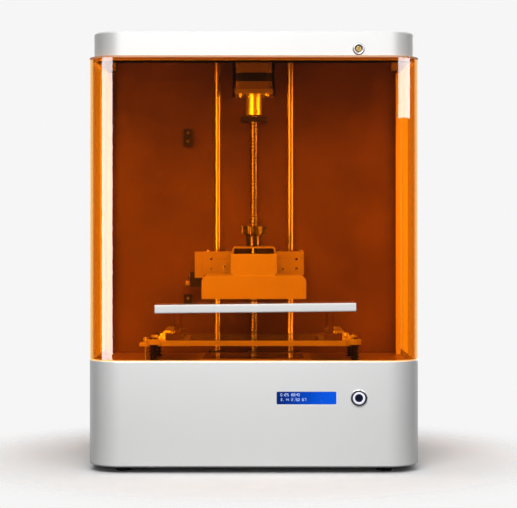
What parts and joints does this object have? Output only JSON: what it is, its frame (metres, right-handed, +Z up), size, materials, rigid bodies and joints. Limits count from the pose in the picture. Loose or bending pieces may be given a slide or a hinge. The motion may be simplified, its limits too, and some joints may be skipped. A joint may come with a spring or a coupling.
{
  "type": "resin printer",
  "caption": "Desktop resin printer: silver base and cap, flip-up clear orange cover, lead-screw axis with build platform over a clear vat, display and push-button in front.",
  "frame": {"origin": "centre of the machine's box, on the surface it stands on", "axes": "+Z up, the front with display and handle faces -Y, +X to the right seen from the front"},
  "size_m": [0.3646, 0.324, 0.479],
  "materials": {
    "silver_paint": "satin metallic silver paint, fine grain",
    "bare_aluminium": "machined aluminium, fine tool marks",
    "panel_metal": "mottled grey metal sheet",
    "steel": "turned and ground steel",
    "chrome": "polished chrome",
    "brass": "turned brass",
    "black_plastic": "fine moulded grain",
    "black_rubber": "matte moulded rubber",
    "black_metal": "black oxide finish",
    "orange_acrylic": "clear orange acrylic, polished",
    "clear_acrylic": "clear acrylic, polished",
    "film": "thin clear release film",
    "optic_glass": "clear optical glass",
    "display_blue": "back-lit blue display behind a clear window",
    "light_ring": "translucent light ring",
    "button_navy": "smoky dark button cap",
    "white_handle": "pale satin handle bar",
    "board_green": "solder-masked circuit board",
    "white_plastic": "moulded white plastic"
  },
  "bodies": {
    "root": {"base_shell": "silver_paint", "bottom_plate": "steel", "rubber_feet": "black_rubber", "case_screws": "steel", "deck_plate": "panel_metal", "projection_glass": "optic_glass", "lcd_window": "display_blue", "circuit_boards": "board_green", "button_bezel": "chrome", "button_light": "light_ring", "projector": "black_plastic", "mirror_unit": "bare_aluminium", "power_supply": "steel", "fan_frame": "black_plastic", "rear_sockets": "black_plastic", "rear_cabinet": "silver_paint", "back_panel": "panel_metal", "service_panel": "silver_paint", "top_cap": "silver_paint", "ceiling_plate": "panel_metal", "lock_barrel": "steel", "hinge_pins": "steel", "cover_bumpers": "black_rubber", "guide_rods": "chrome", "z_brackets": "bare_aluminium", "motor_bells": "bare_aluminium", "motor_stator": "black_metal", "end_stops": "black_plastic", "guide_posts": "steel", "carrier_springs": "steel"},
    "cover": {"cover": "orange_acrylic", "handle_bar": "white_handle", "handle_fixings": "steel"},
    "carriage": {"carriage_block": "bare_aluminium", "carriage_plate": "bare_aluminium", "carriage_screws": "black_metal", "linear_bearings": "steel", "lead_nut": "brass", "platform_arm": "bare_aluminium", "hanger": "bare_aluminium", "build_platform": "bare_aluminium", "switch_bracket": "bare_aluminium", "limit_switch": "black_plastic"},
    "clamp_knob": {"platform_knob": "black_plastic"},
    "lever": {"switch_lever": "steel"},
    "roller": {"switch_roller": "white_plastic"},
    "drive_screw": {"lead_screw": "steel", "shaft_coupling": "bare_aluminium", "motor_rotor": "steel"},
    "power_button": {"button_cap": "button_navy"},
    "key_plug": {"lock_plug": "brass"},
    "fan": {"fan_rotor": "black_plastic"},
    "focus": {"focus_ring": "black_metal"},
    "vat_carrier": {"carrier_plate": "bare_aluminium", "vat_wall": "clear_acrylic", "vat_frame": "bare_aluminium", "vat_film": "film", "vat_screws": "steel", "vat_clamps": "bare_aluminium"},
    "leveller": {"levelling_screw": "steel"}
  },
  "joints": [
    {"name": "cover_hinge", "type": "hinge", "parent": "root", "child": "cover", "pos_m": [0, 0.057, 0.463], "axis": [-1, 0, 0], "range_deg": [0, 80]},
    {"name": "carriage_slide", "type": "slide", "parent": "root", "child": "carriage", "axis": [0, 0, 1], "range_m": [-0.0445, 0.15]},
    {"name": "screw_spin", "type": "hinge", "parent": "root", "child": "drive_screw", "pos_m": [0, 0.034, 0.25], "axis": [0, 0, 1], "range_deg": [-13520, 4020]},
    {"name": "knob_turn", "type": "hinge", "parent": "carriage", "child": "clamp_knob", "pos_m": [0, -0.046, 0.25], "axis": [0, 0, 1], "range_deg": [0, 1080]},
    {"name": "lever_pivot", "type": "hinge", "parent": "carriage", "child": "lever", "pos_m": [-0.0755, 0.027, 0.2095], "axis": [-1, 0, 0], "range_deg": [0, 10], "stiffness_Nm_per_rad": 0.02, "springref_deg": -17.19},
    {"name": "roller_spin", "type": "hinge", "parent": "lever", "child": "roller", "pos_m": [-0.0784, 0.04, 0.2], "axis": [1, 0, 0], "continuous": true},
    {"name": "button_press", "type": "slide", "parent": "root", "child": "power_button", "axis": [0, 1, 0], "range_m": [0, 0.002], "stiffness_N_per_m": 400, "springref_m": -0.003},
    {"name": "lock_turn", "type": "hinge", "parent": "root", "child": "key_plug", "pos_m": [0.1135, -0.125, 0.4595], "axis": [0, 1, 0], "range_deg": [0, 90]},
    {"name": "fan_spin", "type": "hinge", "parent": "root", "child": "fan", "pos_m": [-0.113, 0.152, 0.06], "axis": [0, 1, 0], "continuous": true},
    {"name": "focus_turn", "type": "hinge", "parent": "root", "child": "focus", "pos_m": [0, 0.003, 0.048], "axis": [0, 1, 0], "range_deg": [-40, 40]},
    {"name": "carrier_float", "type": "slide", "parent": "root", "child": "vat_carrier", "axis": [0, 0, 1], "range_m": [-0.003, 0], "stiffness_N_per_m": 2500, "springref_m": 0.012, "deforming": ["carrier_springs"]},
    {"name": "leveller_turn", "type": "hinge", "parent": "root", "child": "leveller", "pos_m": [-0.1224, -0.046, 0.13], "axis": [0, 0, 1], "range_deg": [-720, 720]}
  ],
  "couplings": [
    {"joint": "screw_spin", "follows": "carriage_slide", "rad_per_m": -1570.8}
  ]
}
